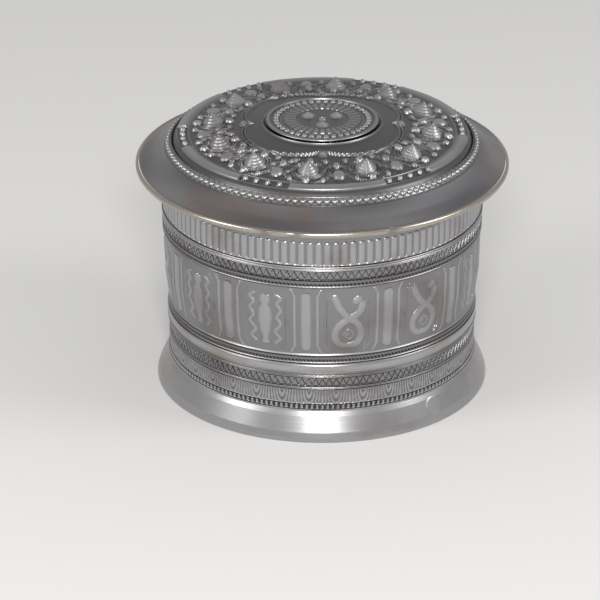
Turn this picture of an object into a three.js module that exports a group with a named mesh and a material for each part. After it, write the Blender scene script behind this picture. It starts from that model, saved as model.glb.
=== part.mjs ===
// A round silver betel box: a footed drum dressed with applied bands and wires, a lift-off lid
// with a wide sloping brim and a raised crown, and a lift-out tray. Millimetres, +Z up.
// The origin is the middle of the foot, on the surface that the box stands on.
import * as THREE from 'three';

// Driving dimensions
const BRIM_RADIUS = 75;
const FOOT_RADIUS = 67.5;
const SHELL_INNER_RADIUS = 60;
const SHEET = 0.9;
const GAP = 0.3;
const SLIDE_CLEARANCE = 0.6;
const SIDES = 32;

const FOOT_HEIGHT = 12.4;
const FOOT_NECK_PROUD = 1.4;
const FOOT_SHEET = 1.0;
const FOOT_ROLL = 0.3;
const ROLL_SHARE = 0.22;
const FLARE_SHARE = 0.6;
const FLARE_LEFT = 0.4;
const BASE_RING_WIDTH = 2.4;
const BASE_RING_HEIGHT = 1.2;

const NOTCHED_WIRE_HEIGHT = 1.8;
const ENGRAVED_HEIGHT = 6.1;
const LINE_HEIGHT = 0.9;
const ZIGZAG_HEIGHT = 3.6;
const HALF_ROUND_HEIGHT = 5.0;
const ROPE_HEIGHT = 2.8;
const FRIEZE_HEIGHT = 30.2;
const FRIEZE_BEND_SHARE = 0.45;
const DOUBLE_LINE_HEIGHT = 1.9;
const FLUTED_HEIGHT = 12.4;

const LOWER_PROUD = 0.8;
const UPPER_PROUD = 3.4;
const WIRE_PROUD = 0.4;

const MOUTH_RING_HEIGHT = 1.5;
const MOUTH_RING_WIDTH = 3.6;
const SKIRT_DEPTH = 8.3;
const BRIM_RISE = 6.4;
const BRIM_LIP = 2.2;
const BRIM_CLEAR = 2.1;
const CROWN_RISE = 9.7;
const CROWN_SHOULDER = 4.5;
const MEDALLION_RADIUS = 22.3;
const MEDALLION_SHEET = 0.9;
const MEDALLION_BOSS = 2.4;
const BEAD_HEIGHT = 1.8;
const BEAD_HALF_WIDTH = 0.9;
const CROWN_FALL = 3;
const CROWN_BEND_SHARE = 0.75;
const BOSS_SHARE = 0.35;

const TRAY_HEIGHT = 22;
const TRAY_SHEET = 0.8;
const TRAY_WIRE_HEIGHT = 1.2;
const TRAY_WIRE_WIDTH = 1.5;
const TRAY_BELOW_SKIRT = 0.5;
const LEDGE_WIDTH = 2.6;
const LEDGE_HEIGHT = 1.4;

// Colours: tarnished silver outside, cleaner silver inside
const TARNISHED = 0x77757a;
const BRIGHT = 0xa3a1a3;
const DARK = 0x4c4b50;
const INSIDE = 0x9c9893;

const box = new THREE.Group();

/** Adds one closed mesh under its own name and finish. */
function addMesh(name, geometry, colour, roughness = 0.42) {
  const material = new THREE.MeshStandardMaterial({ color: colour, roughness, metalness: 1 });
  const mesh = new THREE.Mesh(geometry, material);
  mesh.name = name;
  box.add(mesh);
  return mesh;
}

/** Turns a closed outline of (radius, height) points, listed anticlockwise, about the Z axis. */
function turned(outline) {
  const closed = [...outline, outline[0]].map(([radius, height]) => new THREE.Vector2(radius, height));
  return new THREE.LatheGeometry(closed, SIDES).rotateX(Math.PI / 2);
}

/** A solid of revolution whose outline starts and ends on the axis. */
function turnedSolid(outline) {
  const points = outline.map(([radius, height]) => new THREE.Vector2(radius, height));
  return new THREE.LatheGeometry(points, SIDES).rotateX(Math.PI / 2);
}

/** A ring with a plain four-cornered section that may lean: low and high edges, inner and outer. */
function ring(innerLow, outerLow, low, innerHigh, outerHigh, high) {
  return turned([[innerLow, low], [outerLow, low], [outerHigh, high], [innerHigh, high]]);
}

/** A half-round ring whose section bulges outwards by the given amount. */
function roundedRing(inner, outer, low, high) {
  const third = (high - low) / 3;
  const shoulder = inner + (outer - inner) * 0.6;
  return turned([[inner, low], [shoulder, low], [outer, low + third], [outer, high - third],
    [shoulder, high], [inner, high]]);
}

// The drum's own sheet and what is stacked round it, from the foot up
const shellOuter = SHELL_INNER_RADIUS + SHEET;
const dressInner = shellOuter + GAP;
const stack = { level: FOOT_HEIGHT };

/** Takes the next band's place in the stack round the drum: its low and high edges. */
function nextBand(height) {
  const low = stack.level + GAP;
  stack.level = low + height;
  return [low, stack.level];
}

const lowerRadius = shellOuter + GAP + LOWER_PROUD;
const upperRadius = shellOuter + UPPER_PROUD;

// Foot
const footNeck = shellOuter + GAP + FOOT_NECK_PROUD;
addMesh('foot_flare', turned([
  [FOOT_RADIUS - FOOT_SHEET, 0],
  [FOOT_RADIUS, 0],
  [FOOT_RADIUS - FOOT_ROLL, FOOT_HEIGHT * ROLL_SHARE],
  [footNeck + (FOOT_RADIUS - footNeck) * FLARE_LEFT, FOOT_HEIGHT * FLARE_SHARE],
  [footNeck, FOOT_HEIGHT],
  [footNeck - FOOT_SHEET, FOOT_HEIGHT],
  [footNeck - FOOT_SHEET + (FOOT_RADIUS - footNeck) * FLARE_LEFT, FOOT_HEIGHT * FLARE_SHARE],
  [FOOT_RADIUS - FOOT_ROLL - FOOT_SHEET, FOOT_HEIGHT * ROLL_SHARE],
]), BRIGHT, 0.3);
const baseRingOuter = FOOT_RADIUS - FOOT_SHEET - FOOT_ROLL - GAP;
addMesh('foot_base_ring', ring(baseRingOuter - BASE_RING_WIDTH, baseRingOuter, 0,
  baseRingOuter - BASE_RING_WIDTH, baseRingOuter, BASE_RING_HEIGHT), TARNISHED);

// Bands and wires round the drum
const [notchLow, notchHigh] = nextBand(NOTCHED_WIRE_HEIGHT);
addMesh('notched_wire', roundedRing(dressInner, lowerRadius + WIRE_PROUD, notchLow, notchHigh), DARK);
const [engravedLow, engravedHigh] = nextBand(ENGRAVED_HEIGHT);
addMesh('engraved_band', ring(dressInner, lowerRadius + WIRE_PROUD / 2, engravedLow,
  dressInner, lowerRadius - WIRE_PROUD / 2, engravedHigh), TARNISHED);
const [lineALow, lineAHigh] = nextBand(LINE_HEIGHT);
addMesh('lower_line_wire', roundedRing(dressInner, lowerRadius + WIRE_PROUD / 2, lineALow, lineAHigh), BRIGHT);
const [zigALow, zigAHigh] = nextBand(ZIGZAG_HEIGHT);
addMesh('lower_zigzag_band', ring(dressInner, lowerRadius, zigALow, dressInner, lowerRadius, zigAHigh), DARK);
const [lineBLow, lineBHigh] = nextBand(LINE_HEIGHT);
addMesh('middle_line_wire', roundedRing(dressInner, lowerRadius + WIRE_PROUD / 2, lineBLow, lineBHigh), BRIGHT);
const [halfLow, halfHigh] = nextBand(HALF_ROUND_HEIGHT);
addMesh('half_round_band', roundedRing(dressInner, lowerRadius + 2 * WIRE_PROUD, halfLow, halfHigh), BRIGHT, 0.3);
const [ropeALow, ropeAHigh] = nextBand(ROPE_HEIGHT);
addMesh('lower_rope_wire', roundedRing(dressInner, lowerRadius + WIRE_PROUD, ropeALow, ropeAHigh), TARNISHED);
const [friezeLow, friezeHigh] = nextBand(FRIEZE_HEIGHT);
const friezeBend = friezeLow + (friezeHigh - friezeLow) * FRIEZE_BEND_SHARE;
addMesh('frieze_band', turned([[dressInner, friezeLow], [lowerRadius + WIRE_PROUD, friezeLow],
  [upperRadius - WIRE_PROUD, friezeBend], [upperRadius, friezeHigh],
  [dressInner, friezeHigh]]), TARNISHED);
const [ropeBLow, ropeBHigh] = nextBand(ROPE_HEIGHT);
addMesh('upper_rope_wire', roundedRing(dressInner, upperRadius + WIRE_PROUD / 2, ropeBLow, ropeBHigh), TARNISHED);
const [zigBLow, zigBHigh] = nextBand(ZIGZAG_HEIGHT);
addMesh('upper_zigzag_band', ring(dressInner, upperRadius, zigBLow, dressInner, upperRadius, zigBHigh), DARK);
const [lineCLow, lineCHigh] = nextBand(DOUBLE_LINE_HEIGHT);
addMesh('upper_line_wire', roundedRing(dressInner, upperRadius + WIRE_PROUD, lineCLow, lineCHigh), BRIGHT);
const [fluteLow, fluteHigh] = nextBand(FLUTED_HEIGHT);
addMesh('fluted_band', ring(dressInner, upperRadius, fluteLow, dressInner, upperRadius, fluteHigh), TARNISHED);

// The drum: a wall from the foot's neck to the mouth, a floor let into it, and the mouth's ring
const wallTop = fluteHigh;
const floorLow = FOOT_HEIGHT + GAP;
const floorHigh = floorLow + SHEET;
addMesh('drum_wall', ring(SHELL_INNER_RADIUS, shellOuter, floorLow,
  SHELL_INNER_RADIUS, shellOuter, wallTop), INSIDE);
addMesh('drum_floor', turnedSolid([[0, floorLow], [SHELL_INNER_RADIUS - GAP, floorLow],
  [SHELL_INNER_RADIUS - GAP, floorHigh], [0, floorHigh]]), INSIDE);
const mouthLow = wallTop + GAP;
const mouthHigh = mouthLow + MOUTH_RING_HEIGHT;
addMesh('mouth_ring', ring(SHELL_INNER_RADIUS, SHELL_INNER_RADIUS + MOUTH_RING_WIDTH, mouthLow,
  SHELL_INNER_RADIUS, SHELL_INNER_RADIUS + MOUTH_RING_WIDTH, mouthHigh), TARNISHED);

// Lid: the skirt's step sits on the mouth ring, and its lower part drops into the mouth
const skirtOuter = SHELL_INNER_RADIUS - SLIDE_CLEARANCE;
const skirtInner = skirtOuter - SHEET;
const stepLevel = mouthHigh + GAP;
const skirtLow = stepLevel - SKIRT_DEPTH;
const brimEdgeLow = mouthHigh + BRIM_CLEAR;
const brimEdgeHigh = brimEdgeLow + BRIM_LIP;
const brimNeckHigh = brimEdgeHigh + BRIM_RISE;
const stepOuter = SHELL_INNER_RADIUS + MOUTH_RING_WIDTH / 2;
const crownNeckLow = brimNeckHigh - SHEET;
addMesh('lid_skirt', turned([[skirtInner, skirtLow], [skirtOuter, skirtLow], [skirtOuter, stepLevel],
  [stepOuter, stepLevel], [stepOuter, crownNeckLow - GAP - SHEET], [skirtInner, crownNeckLow - GAP - SHEET]]),
INSIDE);

const edgeInner = BRIM_RADIUS - SHEET - WIRE_PROUD;
const brimNeck = stepOuter + SHEET;
addMesh('lid_edge_wire', roundedRing(edgeInner, BRIM_RADIUS, brimEdgeLow, brimEdgeHigh), BRIGHT, 0.3);
addMesh('lid_brim', turned([[brimNeck, brimNeckHigh - SHEET], [edgeInner - GAP, brimEdgeHigh - SHEET],
  [edgeInner - GAP, brimEdgeHigh], [brimNeck, brimNeckHigh]]), TARNISHED);

const crownTop = brimNeckHigh + CROWN_RISE;
const crownOuter = brimNeck - GAP;
const shoulder = crownOuter - CROWN_SHOULDER;
const shoulderHigh = brimNeckHigh + CROWN_SHOULDER;
addMesh('lid_crown', turnedSolid([
  [0, crownTop - SHEET],
  [MEDALLION_RADIUS, crownTop - SHEET],
  [shoulder * CROWN_BEND_SHARE, crownTop - SHEET - CROWN_FALL],
  [shoulder, shoulderHigh - SHEET],
  [crownOuter - SHEET, crownNeckLow],
  [crownOuter, crownNeckLow],
  [crownOuter, brimNeckHigh],
  [shoulder + SHEET, shoulderHigh],
  [shoulder * CROWN_BEND_SHARE, crownTop - CROWN_FALL],
  [MEDALLION_RADIUS, crownTop],
  [0, crownTop],
]), TARNISHED);
const crownRun = crownOuter - shoulder - SHEET;
const beadLow = brimNeckHigh + GAP + BEAD_HALF_WIDTH * CROWN_SHOULDER / crownRun;
addMesh('lid_bead_ring', roundedRing(crownOuter - BEAD_HALF_WIDTH, crownOuter + BEAD_HALF_WIDTH, beadLow,
  beadLow + BEAD_HEIGHT), BRIGHT, 0.3);
const medallionLow = crownTop + GAP;
addMesh('lid_medallion', turnedSolid([[0, medallionLow], [MEDALLION_RADIUS, medallionLow],
  [MEDALLION_RADIUS, medallionLow + MEDALLION_SHEET],
  [MEDALLION_RADIUS * BOSS_SHARE, medallionLow + MEDALLION_SHEET + GAP],
  [0, medallionLow + MEDALLION_BOSS]]), TARNISHED);

// Tray: it lies on a ledge inside the drum, just under the lid's skirt
const trayOuter = SHELL_INNER_RADIUS - SLIDE_CLEARANCE - GAP;
const trayWireHigh = skirtLow - TRAY_BELOW_SKIRT;
const trayWireLow = trayWireHigh - TRAY_WIRE_HEIGHT;
const trayHigh = trayWireLow - GAP;
const trayLow = trayHigh - TRAY_HEIGHT;
const ledgeHigh = trayLow - GAP;
addMesh('tray_ledge', ring(SHELL_INNER_RADIUS - GAP - LEDGE_WIDTH, SHELL_INNER_RADIUS - GAP,
  ledgeHigh - LEDGE_HEIGHT, SHELL_INNER_RADIUS - GAP - LEDGE_WIDTH, SHELL_INNER_RADIUS - GAP, ledgeHigh), INSIDE);
addMesh('tray_pan', turnedSolid([[0, trayLow], [trayOuter - SHEET, trayLow], [trayOuter, trayLow + SHEET],
  [trayOuter, trayHigh], [trayOuter - TRAY_SHEET, trayHigh], [trayOuter - TRAY_SHEET, trayLow + TRAY_SHEET],
  [0, trayLow + TRAY_SHEET]]), INSIDE);
addMesh('tray_rim_wire', roundedRing(trayOuter - TRAY_WIRE_WIDTH, trayOuter, trayWireLow, trayWireHigh), BRIGHT);

console.log(`mouth at ${mouthHigh.toFixed(1)}, brim edge ${brimEdgeLow.toFixed(1)} to ${brimEdgeHigh.toFixed(1)}, ` +
  `brim neck ${brimNeckHigh.toFixed(1)}, crown ${crownTop.toFixed(1)}, ledge ${ledgeHigh.toFixed(1)}, ` +
  `tray ${trayLow.toFixed(1)} to ${trayWireHigh.toFixed(1)}, skirt from ${skirtLow.toFixed(1)}`);

export default box;
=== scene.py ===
# %% [markdown]
# A round betel box in tarnished silver: a footed drum, a broad-brimmed lid and a tray inside.
# The frame holds every piece at its size, and this lesson gives each one its chased surface.
# %% Load the frame
import math
import bpy
import numpy as np
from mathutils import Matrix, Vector


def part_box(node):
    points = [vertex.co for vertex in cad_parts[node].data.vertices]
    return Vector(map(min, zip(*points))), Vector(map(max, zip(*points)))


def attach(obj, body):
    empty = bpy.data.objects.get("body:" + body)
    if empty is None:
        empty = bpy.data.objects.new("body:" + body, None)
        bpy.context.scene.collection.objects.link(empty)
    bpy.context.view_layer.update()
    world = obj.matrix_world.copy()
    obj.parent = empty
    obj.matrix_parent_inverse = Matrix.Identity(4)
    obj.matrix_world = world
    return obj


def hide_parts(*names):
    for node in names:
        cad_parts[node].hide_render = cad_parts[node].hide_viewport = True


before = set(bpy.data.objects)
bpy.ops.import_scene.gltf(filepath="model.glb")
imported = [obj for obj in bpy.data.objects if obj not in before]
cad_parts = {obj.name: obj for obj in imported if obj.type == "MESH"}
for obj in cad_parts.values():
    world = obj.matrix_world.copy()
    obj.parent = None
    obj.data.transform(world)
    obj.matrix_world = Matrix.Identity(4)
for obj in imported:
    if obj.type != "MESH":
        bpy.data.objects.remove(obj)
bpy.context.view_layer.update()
MM = 0.001
PIXELS_ACROSS = 600
TURN = 2 * np.pi

# %% [markdown]
# The camera stands well back with a long lens, a little above the lid, as the photograph was taken.
# A point is aimed at that lies left of the axis, because the box stands right of the middle.
# %% Camera
DISTANCE = 1.6
ELEVATION = math.radians(25.0)
MM_PER_PIXEL = 0.408
AIM = Vector((-0.0089, 0, 0.0312))
eye = AIM + DISTANCE * Vector((0, -math.cos(ELEVATION), math.sin(ELEVATION)))
lens_data = bpy.data.cameras.new("camera")
lens_data.lens = lens_data.sensor_width * DISTANCE / (PIXELS_ACROSS * MM_PER_PIXEL * MM)
camera = bpy.data.objects.new("camera", lens_data)
camera.location = eye
camera.rotation_euler = (AIM - eye).to_track_quat("-Z", "Y").to_euler()
bpy.context.collection.objects.link(camera)
bpy.context.scene.camera = camera
bpy.context.scene.view_settings.view_transform = "Standard"

# %% [markdown]
# Silver tarnishes black where fingers can't reach and stays pale where they rub. So every chased
# surface carries its own relief as a number, 0 in the hollows and 1 on the crests, and the
# material mixes from sulphide black to worn silver by it.
# %% Silver
def linear(code):
    """sRGB hex to linear colour: the sRGB curve undone for each channel."""
    parts = [int(code[i:i + 2], 16) / 255 for i in (0, 2, 4)]
    return tuple(((c + 0.055) / 1.055) ** 2.4 if c > 0.04045 else c / 12.92 for c in parts) + (1,)


def node(tree, kind, links=(), **settings):
    """Adds a node, sets its properties or sockets by name, and links (socket, source) pairs."""
    made = tree.nodes.new(kind)
    for key, value in settings.items():
        if hasattr(made, key):
            setattr(made, key, value)
        else:
            made.inputs[key.replace("_", " ")].default_value = value
    for socket, source in links:
        tree.links.new(source, made.inputs[socket])
    return made


def silver(name, hollow, crest, stain, rough, brush, pit_mm=0.5):
    """Sterling silver raised and chased by hand: hollow-to-crest colour by relief, brownish tarnish
    in wide clouds, brushed rings of the given strength, and fine pits in bump and roughness."""
    material = bpy.data.materials.new(name)
    material.use_nodes = True
    tree = material.node_tree
    shader = tree.nodes["Principled BSDF"]
    shader.inputs["Metallic"].default_value = 1
    place = node(tree, "ShaderNodeTexCoord").outputs["Object"]
    relief = node(tree, "ShaderNodeAttribute", attribute_name="relief").outputs["Fac"]
    tone = node(tree, "ShaderNodeValToRGB", [("Fac", relief)])
    tone.color_ramp.elements[0].color = linear(hollow)
    tone.color_ramp.elements[0].position = 0.12
    tone.color_ramp.elements[1].color = linear(crest)
    tone.color_ramp.elements[1].position = 0.85
    cloud = node(tree, "ShaderNodeTexNoise", [("Vector", place)], Scale=38, Detail=4)
    patch = node(tree, "ShaderNodeMapRange", [("Value", cloud.outputs["Fac"])])
    patch.inputs["From Min"].default_value = 0.52
    patch.inputs["From Max"].default_value = 0.75
    patch.inputs["To Max"].default_value = 0.55
    stained = node(tree, "ShaderNodeMix", data_type="RGBA")
    tree.links.new(patch.outputs["Result"], stained.inputs[0])
    tree.links.new(tone.outputs["Color"], stained.inputs[6])
    stained.inputs[7].default_value = linear(stain)
    tree.links.new(stained.outputs[2], shader.inputs["Base Color"])
    pits = node(tree, "ShaderNodeTexNoise", [("Vector", place)], Scale=1000 / pit_mm, Detail=3)
    flat = node(tree, "ShaderNodeSeparateXYZ", [("Vector", place)])
    square = node(tree, "ShaderNodeVectorMath", [(0, place)], operation="MULTIPLY")
    square.inputs[1].default_value = (1, 1, 0)
    radius = node(tree, "ShaderNodeVectorMath", [(0, square.outputs[0])], operation="LENGTH")
    ring = node(tree, "ShaderNodeCombineXYZ", [("X", radius.outputs["Value"]), ("Y", flat.outputs["Z"])])
    brushed = node(tree, "ShaderNodeTexNoise", [("Vector", ring.outputs[0])], Scale=2600, Detail=2)
    both = node(tree, "ShaderNodeMix", data_type="FLOAT")
    both.inputs[0].default_value = brush
    tree.links.new(pits.outputs["Fac"], both.inputs[2])
    tree.links.new(brushed.outputs["Fac"], both.inputs[3])
    gloss = node(tree, "ShaderNodeMapRange", [("Value", both.outputs[0])])
    gloss.inputs["To Min"].default_value = rough - 0.1
    gloss.inputs["To Max"].default_value = rough + 0.12
    tree.links.new(gloss.outputs["Result"], shader.inputs["Roughness"])
    bump = node(tree, "ShaderNodeBump", [("Height", both.outputs[0])], Strength=0.25, Distance=0.00012)
    tree.links.new(bump.outputs["Normal"], shader.inputs["Normal"])
    return material


chased = silver("chased_silver_tarnished", "1f1e21", "b0afb1", "6f6461", 0.36, 0.2)
# The zigzag bands and the notched wire are solid sheets: their near-black hollow colour 0d0d10 is painted
# shade for the dark behind the piercings, laid over the real tarnish.
openwork_painted_shade = silver("pierced_silver_painted_shade", "0d0d10", "b4b2b5", "6a6668", 0.36, 0.1)
worn = silver("plain_silver_worn", "858486", "b4b3b4", "8f8279", 0.30, 0.6)
brim_silver = silver("brushed_silver_brim", "7c7a7d", "9b999b", "8f7468", 0.34, 0.9)
edge_silver = silver("silver_edge_yellowed", "969087", "b5afa5", "94897a", 0.28, 0.4)
inner = silver("planished_silver_inside", "8a8580", "aaa59e", "8a7a68", 0.34, 0.5)
print("six silvers")

# %% [markdown]
# Each band is a sheet turned about the axis. Its outline is a few (radius, height) points, sampled
# evenly, and a relief function lifts every point along the outline's normal. The sheet's back is
# the same outline set in by its thickness, so the shell is closed.
# %% A turned and chased sheet
def along(points, count):
    """Points spaced evenly by length along a polyline."""
    points = np.array(points, float)
    steps = np.r_[0, np.cumsum(np.hypot(*np.diff(points, axis=0).T))]
    where = np.linspace(0, steps[-1], count)
    return np.c_[np.interp(where, steps, points[:, 0]), np.interp(where, steps, points[:, 1])], where


def put(name, grid, relief, material, body, nodes, poles=False):
    """Makes a mesh of a (rows, columns, 3) grid that closes both ways, or on two poles."""
    rows, columns = grid.shape[:2]
    index = np.arange(rows * columns).reshape(rows, columns)
    if poles:
        index[0] = index[0, 0]
        index[-1] = index[-1, 0]
        upper, lower = index[:-1], index[1:]
    else:
        upper, lower = index, np.roll(index, -1, 0)
    quads = np.stack([upper, np.roll(upper, -1, 1), np.roll(lower, -1, 1), lower], -1).reshape(-1, 4)
    first = quads[quads[:, 0] != quads[:, 1]][:, [0, 1, 2]]
    second = quads[quads[:, 2] != quads[:, 3]][:, [0, 2, 3]]
    faces = np.vstack([first, second])
    used, faces = np.unique(faces, return_inverse=True)
    faces = faces.reshape(-1, 3)
    place = grid.reshape(-1, 3)[used] * MM
    a, b, c = place[faces[:, 0]], place[faces[:, 1]], place[faces[:, 2]]
    if np.einsum("ij,ij->i", a, np.cross(b, c)).sum() < 0:
        faces = faces[:, ::-1]
    mesh = bpy.data.meshes.new(name)
    mesh.from_pydata(place.tolist(), [], faces.tolist())
    mesh.attributes.new("relief", "FLOAT", "POINT").data.foreach_set("value", relief.reshape(-1)[used])
    mesh.shade_smooth()
    mesh.set_sharp_from_angle(angle=math.radians(50))
    piece = bpy.data.objects.new(name, mesh)
    bpy.context.collection.objects.link(piece)
    mesh.materials.append(material)
    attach(piece, body)
    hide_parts(*nodes)
    print(name, len(faces), "triangles")
    return piece


BACK_ROWS = 6
BACK_TONE = 0.6


def sheet(name, outline, lift, columns, rows, material, body, nodes, thick=0.55, solid=False,
          ground_tone=0.0, full_tone=9.0):
    """Outline points turned about Z; outer point = outline + normal * lift(angle, length).
    The relief number runs from ground_tone at the lowest point to 1 at full_tone mm above it."""
    line, where = along(outline, rows)
    tangent = np.gradient(line, axis=0)
    tangent /= np.hypot(*tangent.T)[:, None]
    normal = np.c_[tangent[:, 1], -tangent[:, 0]]
    angle = np.arange(columns) / columns * TURN
    spread, length = np.meshgrid(angle, where)
    height = np.broadcast_to(lift(spread, length, line), spread.shape).astype(float)
    fade = np.clip(np.minimum(np.arange(rows), np.arange(rows)[::-1]) / 2, 0, 1)[:, None]
    if solid:
        fade = np.clip(np.arange(rows)[::-1] / 2, 0, 1)[:, None]
    height = height * fade
    radius = line[:, :1] + normal[:, :1] * height
    level = line[:, 1:] + normal[:, 1:] * height
    back, _ = along(np.array(outline)[::-1], BACK_ROWS)
    backwards = np.linspace(1, 0, BACK_ROWS)
    shift = np.interp(backwards, np.linspace(0, 1, rows), normal[:, 0])
    shift_up = np.interp(backwards, np.linspace(0, 1, rows), normal[:, 1])
    inside = np.repeat((back[:, 0] - shift * thick)[:, None], columns, 1)
    inside_level = np.repeat((back[:, 1] - shift_up * thick)[:, None], columns, 1)
    radius = np.vstack([radius, np.maximum(inside, 0)])
    level = np.vstack([level, inside_level])
    turned = np.vstack([spread, np.repeat(angle[None], BACK_ROWS, 0)])
    grid = np.stack([radius * np.sin(turned), -radius * np.cos(turned), level], -1)
    low, high = height.min(), max(height.max(), height.min() + 1e-6)
    shade = ground_tone + (1 - ground_tone) * np.clip((height - low) / min(high - low, full_tone), 0, 1)
    tone = np.vstack([shade, np.full((BACK_ROWS, columns), BACK_TONE)])
    return put(name, grid, tone, material, body, nodes, poles=solid)


def plain(spread, length, line):
    """A hand-planished surface: a wave of less than a hundredth of a millimetre."""
    return 0.006 * np.sin(5 * spread) * np.cos(0.2 * length)


def edges(name):
    """A node's outer radius and its low and high edge, in millimetres."""
    low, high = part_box(name)
    return high[0] / MM, low[2] / MM, high[2] / MM


# %% [markdown]
# The drum's bands. Reeds, zigzag wires, ropes and bars repeat evenly round it, so each is a wave of
# the angle: a reed is the rounded crest of a cosine, and a zigzag is how near a point lies to a
# triangle wave, over a near-black ground that is painted shade for the dark behind the piercings.
# %% Bands
REEDS = 118
REED_TOP_BARE = 2.2
ZIGZAGS = 142
NOTCHES = 190
ARC_GROUPS = 36
ARC_PITCH = 1.1
ARC_RADIUS = 62.5
ROPE_TURNS = 260
PANELS = 12
PANEL_TURN = math.radians(6)
FRIEZE_RADIUS = 64
FRIEZE_DRAWN_IN = 2.0
FRIEZE_BEND = 14
PANEL_HALF_WIDTH = 8.6
PILASTER_HALF_WIDTH = 2.7
BAR_HALF_WIDTH = 0.95
BAR_FROM_PILASTER = 4.6
PUNCH_PITCH = 1.1
FRIEZE_GROUND = 1.15


def ridge(away, wide):
    """A sharp-topped line: 1 where away is nothing, falling evenly to 0 at wide."""
    return np.clip(1 - np.abs(away) / wide, 0, 1)


def reeds(spread, length, line):
    """Half-round reeds with round ends: a half circle over each pitch."""
    across = (REEDS * spread / TURN) % 1 * 2 - 1
    wave = np.sqrt(np.clip(1 - across**2, 0, 1))
    end = np.clip(np.minimum(length, length.max() - REED_TOP_BARE - length) / 0.9, 0, 1)
    return -1.2 + 1.15 * wave * np.sqrt(end)


def zigzag(spread, length, line):
    """A bright wire along a triangle wave: height falls with distance from it."""
    middle = length.max() / 2
    wave = np.abs((ZIGZAGS * spread / TURN) % 1 * 2 - 1) * 2 - 1
    away = np.abs(length - middle - wave * (middle - 0.35)) * 0.48
    wire = np.sqrt(np.clip(1 - (away / 0.2) ** 2, 0, 1))
    border = np.clip(1 - np.minimum(length, length.max() - length) / 0.3, 0, 1)
    return -0.75 + 0.72 * np.maximum(wire, border)


def rope(spread, length, line):
    """Two raised lines with slanting strands between them."""
    strands = 0.5 + 0.5 * np.cos(ROPE_TURNS * spread + 2.2 * length)
    bars = np.clip(np.cos(length / length.max() * TURN * 1.5) * 0.5 + 0.5, 0, 1)
    return -0.45 + 0.25 * bars + 0.2 * strands * (1 - bars)


def lines(spread, length, line):
    """Two round wires side by side."""
    return -0.35 + 0.33 * np.abs(np.sin(length / length.max() * TURN))


def notches(spread, length, line):
    """Square teeth punched round the top of the foot."""
    return -0.5 + 0.45 * (np.cos(NOTCHES * spread) > -0.2) * np.ones_like(length)


def arcs(spread, length, line):
    """Engraved nested arcs: rings about points spaced along the lower edge."""
    width = TURN * ARC_RADIUS / ARC_GROUPS
    across = (spread / TURN * ARC_GROUPS % 1 - 0.5) * width
    away = np.hypot(across, (length - length.max()) * 0.35)
    return -0.12 + 0.12 * np.clip(1.6 * np.cos(away * TURN / ARC_PITCH), -1, 1)


def round_band(spread, length, line):
    """A plain half-round moulding between two thin lines."""
    t = length / length.max()
    return -0.9 + 0.85 * np.sqrt(np.clip(1 - ((t - 0.5) / 0.42) ** 2, 0, 1)) + 0.3 * (np.abs(t - 0.5) > 0.44)


def curve(points, count=46):
    """A smooth curve through given points, by cubic weights between neighbours."""
    p = np.array(points, float)
    p = np.vstack([2 * p[0] - p[1], p, 2 * p[-1] - p[-2]])
    t = np.linspace(0, len(points) - 1 - 1e-6, count)
    i = t.astype(int)
    f = (t - i)[:, None]
    a, b, c, d = p[i], p[i + 1], p[i + 2], p[i + 3]
    return 0.5 * (2 * b + (c - a) * f + (2 * a - 5 * b + 4 * c - d) * f**2 + (3 * b - a - 3 * c + d) * f**3)


def tube(x, y, path, wide):
    """A round ridge along a path: a half-circle of the distance to its nearest point."""
    away = np.full(x.shape, 99.0)
    for px, py in path:
        np.minimum(away, np.hypot(x - px, y - py), out=away)
    return np.sqrt(np.clip(1 - (away / wide) ** 2, 0, 1))


SERPENT = curve([(-5.2, 10.4), (-3.6, 6.5), (-0.5, 2.5), (4, -1.5), (5.4, -6), (3.6, -10), (-0.5, -11.2),
                 (-4.4, -9), (-5, -4.5), (-2, -0.5), (2, 1.8), (4.8, 4.2), (5.8, 7)], 110)
COIL = curve([(-1.9, -6), (0.4, -3.8), (2.5, -6), (0.7, -8), (-0.8, -6.5), (0.4, -5.6)], 50)
SCROLLS = curve([(4.4, 10.6), (6.6, 9), (4.9, 6.8), (6.6, 4), (5, 1), (6.6, -2), (4.2, -5.5), (6.2, -8.6),
                 (4.2, -10.8)], 70)
VASE_LEVELS = (-12, -11, -9, -5, 0, 4, 6, 8, 10.4, 11)
VASE_HALF_WIDTHS = (0.1, 2.4, 1.5, 3.0, 3.8, 3.4, 1.9, 3.1, 2.4, 0.1)


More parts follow.
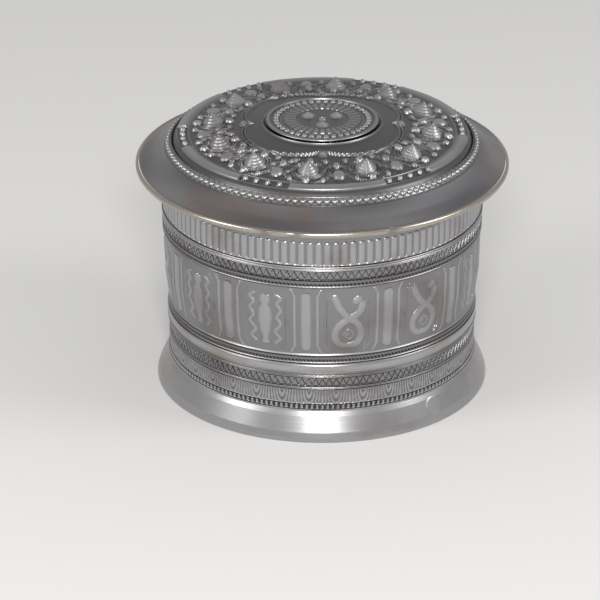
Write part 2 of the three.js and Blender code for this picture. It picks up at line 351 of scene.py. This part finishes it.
def frieze(spread, length, line):
    """Twelve panels in chamfered double frames between half-round pilasters and thin bars."""
    step = TURN / PANELS
    place = (spread + PANEL_TURN) / step
    number = np.floor(place).astype(int) % PANELS
    x = (place % 1 - 0.5) * step * FRIEZE_RADIUS
    y = length - length.max() / 2
    side = step * FRIEZE_RADIUS / 2 - np.abs(x)
    tall = length.max() / 2
    round_end = np.sqrt(np.clip(4 - side**2, 0, 4)) * 0.6
    pilaster = np.sqrt(np.clip(1 - (side / PILASTER_HALF_WIDTH) ** 2, 0, 1))
    pilaster = pilaster * (np.abs(y) < tall - 3.6 + round_end)
    fork = np.clip(np.abs(y) - tall + 4, 0, 3) * 0.5
    bar = np.sqrt(np.clip(1 - ((side - BAR_FROM_PILASTER - fork) / BAR_HALF_WIDTH) ** 2, 0, 1))
    frame_in = np.maximum(np.maximum(np.abs(x) - PANEL_HALF_WIDTH, np.abs(y) - tall + 3),
                          (np.abs(x) + np.abs(y) - tall - 3.2) * 0.707)
    frames = ridge(frame_in + 0.2, 0.45) + ridge(frame_in - 1.0, 0.45)
    ground = 0.16 * np.cos(x * TURN / PUNCH_PITCH) * np.cos(y * TURN / PUNCH_PITCH) * (frame_in < -1)
    up = y
    serpent = np.maximum(tube(x, up, SERPENT, 2.0), 0.8 * tube(x, up, COIL, 0.9))
    serpent = np.maximum(serpent, tube(x, up, [(4.2, 9.6), (3.2, 8.8)], 2.0))
    half = np.interp(up, VASE_LEVELS, VASE_HALF_WIDTHS)
    beast = np.sqrt(np.clip(1 - (x / half) ** 2, 0, 1)) * (np.abs(up) < 11.4)
    beast = np.maximum(beast, 0.85 * np.maximum(tube(x, up, SCROLLS, 1.15), tube(-x, up, SCROLLS, 1.15)))
    figure = np.where(number // 2 % 2 == 0, serpent, beast) * (frame_in < 0)
    moat = np.maximum(tube(x, up, SERPENT, 2.9), 0) * (number // 2 % 2 == 0)
    moat = np.maximum(moat, ((np.abs(x) < half + 0.8) & (np.abs(up) < 12)) * (number // 2 % 2 == 1))
    ground = ground - 0.3 * (moat > 0) * (frame_in < -0.6)
    rails = ridge(tall - np.abs(y) - 0.8, 0.5)
    return -FRIEZE_GROUND + np.maximum.reduce([pilaster, 0.9 * bar * (np.abs(y) < tall - 1.2), 0.85 * frames,
                                      figure, 0.6 * rails]) + ground * (figure < 0.05)


# Each band's node, relief, columns round the drum, rows and silver
# The openwork silver paints the shade behind the piercings into the hollows of the zigzag bands and the
# notched wire.
BANDS = [("fluted_band", reeds, 1888, 26, chased), ("upper_line_wire", lines, 384, 20, worn),
         ("upper_zigzag_band", zigzag, 1704, 26, openwork_painted_shade), ("upper_rope_wire", rope, 1300, 20, chased),
         ("frieze_band", frieze, 1260, 72, chased), ("lower_rope_wire", rope, 1300, 20, chased),
         ("half_round_band", round_band, 384, 30, worn), ("middle_line_wire", lines, 384, 16, worn),
         ("lower_zigzag_band", zigzag, 1704, 26, openwork_painted_shade), ("lower_line_wire", lines, 384, 16, worn),
         ("engraved_band", arcs, 1080, 40, chased), ("notched_wire", notches, 1900, 14, openwork_painted_shade)]
GROUND_TONES = {"engraved_band": 0.45, "fluted_band": 0.25, "frieze_band": 0.0, "notched_wire": 0.25}
for name, lift, columns, rows, material in BANDS:
    outer, low, high = edges(name)
    outline = [(outer, low), (outer, high)]
    if name == "frieze_band":
        outline = [(outer - FRIEZE_DRAWN_IN, low), (outer - 0.3, low + FRIEZE_BEND), (outer, high)]
    sheet("chased_" + name, outline, lift, columns, rows, material, "box", [name],
          ground_tone=GROUND_TONES.get(name, 0))

# %% [markdown]
# The plain foot flares out like a trumpet's mouth. It is the brightest part, worn by the table and
# the hand, with a round solder patch at its right that stands a little proud.
# %% Foot
PATCH_ANGLE = math.radians(43)


def foot_lift(spread, length, line):
    """Planished sheet with a flat round patch 7.6 mm across."""
    away = np.hypot((spread - PATCH_ANGLE) * 65, length - 7.5)
    return plain(spread, length, line) - 0.25 + 0.09 * np.clip((3.8 - away) / 0.35, 0, 1)


foot_outer, foot_low, foot_high = edges("foot_flare")
neck = edges("notched_wire")[0] + 0.1
foot_line = [(foot_outer - 0.45, foot_low + 0.02), (foot_outer, foot_low + 0.5), (foot_outer - 0.1, 1.6),
             (foot_outer - 0.8, 4), (foot_outer - 2.2, 7), (foot_outer - 3.6, 10), (neck, foot_high)]
sheet("raised_foot", foot_line, foot_lift, 720, 60, worn, "box", ["foot_flare"], 0.9,
      ground_tone=0.7)

# %% [markdown]
# The lid. The brim is brushed in rings, and its wired edge is dented here and there. The crown is
# chased: twelve stepped bosses, granules and scrolls, and a quatrefoil round the medallion.
# %% Lid
BEADS = 125
BOSSES = 12
FRONT_BOSS = math.radians(7.4)
BOSS_RING = 44
BOSS_RADIUS = 4.7
BOSS_HEIGHT = 4.8
BOSS_STEPS = 5
MEDALLION_BEADS = 40
MEDALLION_BEAD_RING = 18.6


def edge_lift(spread, length, line):
    """A rolled edge with three small dents at the front."""
    turn = (spread + np.pi) % TURN - np.pi
    dents = sum(np.exp(-((turn - math.radians(a)) / 0.03) ** 2) for a in (-8.5, -17.5, 21))
    return -0.25 * dents + plain(spread, length, line) - 0.06


edge_outer, edge_low, edge_high = edges("lid_edge_wire")
section = [(edge_outer - 1.2, edge_low), (edge_outer - 0.35, edge_low + 0.05),
           (edge_outer - 0.05, edge_low + 0.6), (edge_outer - 0.05, edge_high - 0.7),
           (edge_outer - 0.4, edge_high - 0.12), (edge_outer - 1.3, edge_high)]
sheet("rolled_edge", section, edge_lift, 720, 24, edge_silver, "lid",
      ["lid_edge_wire"])
brim_outer, _, neck_high = edges("lid_brim")
crown_outer = edges("lid_crown")[0]
slope = [(brim_outer, edge_high), (brim_outer - 5, edge_high + 2.2), (crown_outer + 0.4, neck_high)]
sheet("brushed_brim", slope,
      plain, 720, 30, brim_silver, "lid", ["lid_brim"])


def beads(spread, length, line):
    """Long oval beads: half an ellipsoid repeated round the ring."""
    across = ((BEADS * spread / TURN) % 1 - 0.5) * 2
    lengthwise = (length / length.max() - 0.5) * 2
    grain = np.sqrt(np.clip(1 - (across / 0.9) ** 2 - (lengthwise / 0.62) ** 2, 0, 1))
    side_lines = ridge(np.abs(lengthwise) - 0.82, 0.12)
    return -0.55 + np.maximum(1.15 * grain, 0.35 * side_lines)


bead_outer, _, _ = edges("lid_bead_ring")
bead_seat = [(bead_outer + 0.1, neck_high + 0.1), (bead_outer - 2.6, neck_high + 3.0)]
sheet("bead_ring", bead_seat, beads, 2000, 26, worn, "lid",
      ["lid_bead_ring"], 0.5)


def cone(away, wide, tall, steps=4):
    """A stepped cone: height falls with distance, less a sine that rounds it into steps."""
    t = np.clip(1 - away / wide, 0, 1) * steps
    return tall * (t - np.sin(TURN * t) / TURN) / steps


def dome(away, wide, tall):
    """A round grain."""
    return tall * np.sqrt(np.clip(1 - (away / wide) ** 2, 0, 1))


# Grains about each boss: radius from the axis, place in the boss's share of the turn, radius, height
GRAINS = [(50.6, 0, 1.7, 1.8), (37.6, 0, 1.7, 1.8), (47.5, 0.5, 2.6, 1.7), (40.5, 0.5, 1.7, 1.6),
          (50.8, 0.25, 1.2, 1.4), (50.8, -0.25, 1.2, 1.4), (37, 0.3, 1.1, 1.2), (37, -0.3, 1.1, 1.2),
          (44, 0.27, 0.8, 0.7), (44, -0.27, 0.8, 0.7)]


def crown_lift(spread, length, line):
    """Bosses at 44 mm, grains and teardrops round them, scroll ridges, plain quatrefoil inside."""
    radius = line[:, :1] * np.ones_like(spread)
    step = TURN / BOSSES
    local = ((spread + FRONT_BOSS) / step + 0.5) % 1 - 0.5
    x = local * step * radius
    result = cone(np.hypot(x, radius - BOSS_RING), BOSS_RADIUS, BOSS_HEIGHT, BOSS_STEPS)
    for far, off, wide, tall in GRAINS:
        offset = ((local - off + 0.5) % 1 - 0.5) * step * radius
        result = np.maximum(result, dome(np.hypot(offset, (radius - far) * 0.8), wide, tall))
    boss_away = np.hypot(x, radius - BOSS_RING)
    between = np.hypot((local % 1 - 0.5) * step * radius, radius - BOSS_RING)
    scroll = sum(ridge(boss_away - far, 0.4) for far in (5.2, 6.3, 9.2, 10.2))
    scroll = scroll + sum(ridge(between - far, 0.4) for far in (3.6, 4.6))
    petals = np.clip(np.cos(boss_away * 3.1) * np.cos(48 * spread + 0.8 * radius), 0, 1)
    scroll = np.clip(scroll + 0.35 * petals * (boss_away > 4.9), 0, 1) * 0.6
    scroll = scroll * (radius > 35.8) * (radius < 52.9)
    quarter = ((spread / TURN * 4 + 0.5) % 1 - 0.5) * TURN / 4 * radius
    result = np.maximum(result, cone(np.hypot(quarter, radius - 31.5), 2.4, 1.8, 3))
    lobe = 28 + 6 * np.abs(np.sin(2 * spread)) ** 0.6
    frames = ridge(radius - lobe, 0.4) + ridge(radius - lobe - 1.3, 0.4)
    border = ridge(radius - 53.6, 0.4) + ridge(radius - 23.6, 0.6)
    polish = 1.1 * np.sqrt(np.clip(1 - ((radius - 56.3) / 2.3) ** 2, 0, 1))
    groups = (np.cos(6 * (spread + math.radians(24))) > 0.45) * (radius > 54) * (radius < 58)
    grains = dome(np.hypot(((spread * 72 / TURN) % 1 - 0.5) * TURN * 56 / 72, radius - 56), 1.2, 1.5) * groups
    polish = polish * (1 - groups)
    return np.maximum.reduce([result, scroll, 0.9 * frames, 0.9 * border, grains, polish]) - 0.3


crown_top = edges("lid_crown")[2]
shoulder = crown_outer - 4.5
rise = [(crown_outer - 0.3, neck_high), (shoulder + 1.5, neck_high + 3.6), (shoulder, neck_high + 4.8),
        (shoulder * 0.75, crown_top - 3), (30, crown_top - 1.1), (20, crown_top)]
sheet("chased_crown", rise, crown_lift, 960, 98, chased,
      "lid", ["lid_crown"], 0.8, ground_tone=0.35, full_tone=1.5)


def medallion_lift(spread, length, line):
    """A plain rim, a ring of 40 beads, three stepped cones and petals about a centre grain."""
    radius = line[:, :1] * np.ones_like(spread)
    x, y = radius * np.sin(spread), radius * np.cos(spread)
    across = ((spread * MEDALLION_BEADS / TURN) % 1 - 0.5) * TURN * MEDALLION_BEAD_RING / MEDALLION_BEADS
    ring = dome(np.hypot(across, radius - MEDALLION_BEAD_RING), 1.2, 0.9)
    result = np.maximum(ring, dome(np.hypot(x, y), 1.6, 0.9))
    for turn in (0, 120, 240):
        a = math.radians(turn)
        result = np.maximum(result, cone(np.hypot(x - 6.5 * math.sin(a), y - 6.5 * math.cos(a)), 3.1, 1.9))
    petals = 0.45 * np.abs(np.cos(16 * spread)) * (radius > 10.5) * (radius < 15.5)
    lip = 0.4 * (radius > 21) + 0.35 * ridge(radius - 16.6, 0.4)
    return np.maximum.reduce([result, petals, lip]) - 0.1


med_outer, med_low, med_high = edges("lid_medallion")
sheet("chased_medallion", [(med_outer, med_low), (med_outer - 0.2, med_low + 0.5), (0, med_low + 0.45)],
      medallion_lift, 480, 120, chased, "lid", ["lid_medallion"], 0.5, solid=True,
      ground_tone=0.4, full_tone=0.9)

# %% [markdown]
# Inside and underneath everything is plain planished sheet, turned from the CAD's own sections and
# smooth where the CAD is faceted.
# %% Plain pieces
wall_outer, wall_low, wall_high = edges("drum_wall")
WALL_IN = wall_outer - 0.9
mouth_outer, mouth_low, mouth_high = edges("mouth_ring")
ledge_outer, ledge_low, ledge_high = edges("tray_ledge")
pan_outer, pan_low, pan_high = edges("tray_pan")
rim_outer, rim_low, rim_high = edges("tray_rim_wire")
base_outer, base_low, base_high = edges("foot_base_ring")
skirt_outer, skirt_low, skirt_high = edges("lid_skirt")


PLAIN_COLUMNS = 240
PLAIN_TONE = 0.6


def turned_solid(name, outline, body, material=inner, rows=60):
    """A closed outline of (radius, height) turned about Z, in even steps along its length."""
    closed = outline[0][0] > 0
    line, where = along(outline + [outline[0]] if closed else outline, rows)
    line = line[:-1] if closed else line
    angle = np.arange(PLAIN_COLUMNS) / PLAIN_COLUMNS * TURN
    radius = np.repeat(line[:, :1], PLAIN_COLUMNS, 1)
    level = np.repeat(line[:, 1:], PLAIN_COLUMNS, 1)
    grid = np.stack([radius * np.sin(angle), -radius * np.cos(angle), level], -1)
    tone = np.full(radius.shape, PLAIN_TONE)
    put("smooth_" + name, grid, tone, material, body, [name], not closed)


def block(inside, outside, low, high, soft=0.25):
    """A ring's section with bevelled corners."""
    return [(inside + soft, low), (outside - soft, low), (outside, low + soft), (outside, high - soft),
            (outside - soft, high), (inside + soft, high), (inside, high - soft), (inside, low + soft)]


turned_solid("drum_wall", block(WALL_IN, wall_outer, wall_low, wall_high), "box", rows=200)
turned_solid("mouth_ring", block(WALL_IN, mouth_outer, mouth_low, mouth_high), "box", worn)
turned_solid("tray_ledge", block(ledge_outer - 2.6, ledge_outer, ledge_low, ledge_high), "box")
turned_solid("foot_base_ring", block(base_outer - 2.4, base_outer, base_low, base_high), "box")
turned_solid("tray_rim_wire", block(rim_outer - 1.5, rim_outer, rim_low, rim_high, 0.4), "tray", worn)
floor_outer, floor_low, floor_high = edges("drum_floor")
disc = [(0, floor_low), (floor_outer, floor_low), (floor_outer, floor_high), (0, floor_high)]
turned_solid("drum_floor", disc, "box")
pan = [(0, pan_low), (pan_outer - 0.9, pan_low), (pan_outer, pan_low + 0.9), (pan_outer, pan_high),
       (pan_outer - 0.8, pan_high), (pan_outer - 0.8, pan_low + 1.2), (pan_outer - 1.3, pan_low + 0.8),
       (0, pan_low + 0.8)]
turned_solid("tray_pan", pan, "tray", rows=300)
SKIRT_OUT = WALL_IN - 0.6
SKIRT_IN = SKIRT_OUT - 0.9
stepped = [(SKIRT_IN, skirt_low), (SKIRT_OUT, skirt_low), (SKIRT_OUT, mouth_high + 0.3),
           (skirt_outer, mouth_high + 0.3), (skirt_outer, skirt_high), (SKIRT_IN, skirt_high)]
turned_solid("lid_skirt", stepped, "lid", rows=120)

# %% [markdown]
# A plain pale floor and a pale surround, with a soft lamp by the camera, because the photograph was
# lit from the front, and two weaker ones at the sides.
# %% Studio
floor_mesh = bpy.data.meshes.new("studio_floor")
HALF = 3.0
corners = [(-HALF, -HALF, 0), (HALF, -HALF, 0), (HALF, HALF, 0), (-HALF, HALF, 0)]
floor_mesh.from_pydata(corners, [], [(0, 1, 2, 3)])
studio_floor = bpy.data.objects.new("studio_floor", floor_mesh)
bpy.context.collection.objects.link(studio_floor)
floor_paint = bpy.data.materials.new("pale_floor_paint")
floor_paint.use_nodes = True
floor_paint.node_tree.nodes["Principled BSDF"].inputs["Base Color"].default_value = linear("e4e3e1")
floor_paint.node_tree.nodes["Principled BSDF"].inputs["Roughness"].default_value = 0.9
floor_mesh.materials.append(floor_paint)
world = bpy.data.worlds.new("studio")
bpy.context.scene.world = world
world.use_nodes = True
sky = world.node_tree
ray = node(sky, "ShaderNodeLightPath")
strength = node(sky, "ShaderNodeMapRange", [("Value", ray.outputs["Is Camera Ray"])])
strength.inputs["To Min"].default_value = 0.5
strength.inputs["To Max"].default_value = 1.0
sky.links.new(strength.outputs["Result"], sky.nodes["Background"].inputs["Strength"])
sky.nodes["Background"].inputs["Color"].default_value = (1, 1, 1, 1)
for name, where, size, power in (("front", (0.0, -1.2, 0.75), 0.22, 9), ("left", (-1.0, -0.5, 0.7), 0.5, 4),
                                 ("right", (1.0, -0.3, 0.8), 0.5, 4)):
    data = bpy.data.lights.new(name + "_lamp", "AREA")
    data.size = size
    data.energy = power
    lamp = bpy.data.objects.new(name + "_lamp", data)
    lamp.location = where
    lamp.rotation_euler = (Vector((0, 0, 0.05)) - Vector(where)).to_track_quat("-Z", "Y").to_euler()
    bpy.context.collection.objects.link(lamp)
